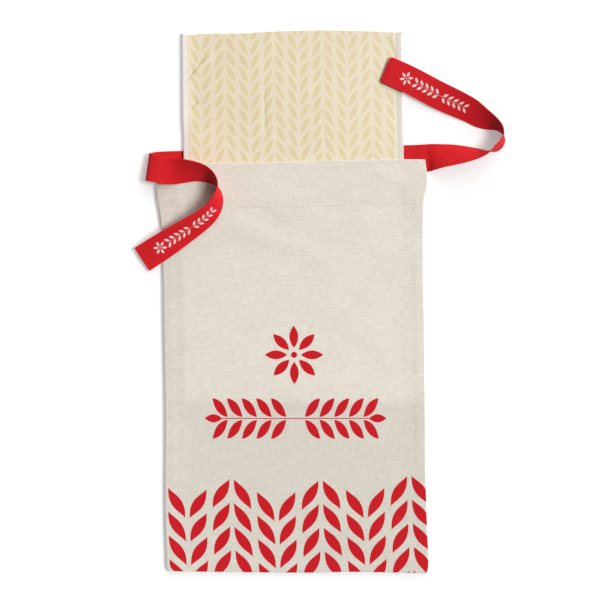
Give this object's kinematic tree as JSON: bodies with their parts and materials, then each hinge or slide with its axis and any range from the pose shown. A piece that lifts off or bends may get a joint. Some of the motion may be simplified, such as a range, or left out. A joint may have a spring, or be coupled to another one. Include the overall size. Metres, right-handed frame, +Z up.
{
  "type": "linen bread bag with waxed cotton liner and tape tie",
  "caption": "Linen bread bag lying flat, with a waxed cotton liner drawn partly out of its mouth and a red tape tie across its back, its tails loose.",
  "frame": {"origin": "centre of the bag's flat underside, on the table it lies on", "axes": "+Z up from the table through the printed front, +Y from the bag's bottom to its mouth and liner, +X across the bag to the side of the longer-reaching tie tail"},
  "size_m": [0.3698, 0.5415, 0.039],
  "materials": {
    "linen": "natural oatmeal linen, plain weave, matt, printed in red",
    "waxed_cotton": "cream cotton with a waxed, faintly glossy finish and a pale yellow print",
    "red_tape": "red cotton twill tape, matt"
  },
  "bodies": {
    "root": {"bag_front": "linen", "bag_back": "linen", "liner_front": "waxed_cotton", "liner_back": "waxed_cotton", "tie_tape": "red_tape"}
  },
  "joints": []
}
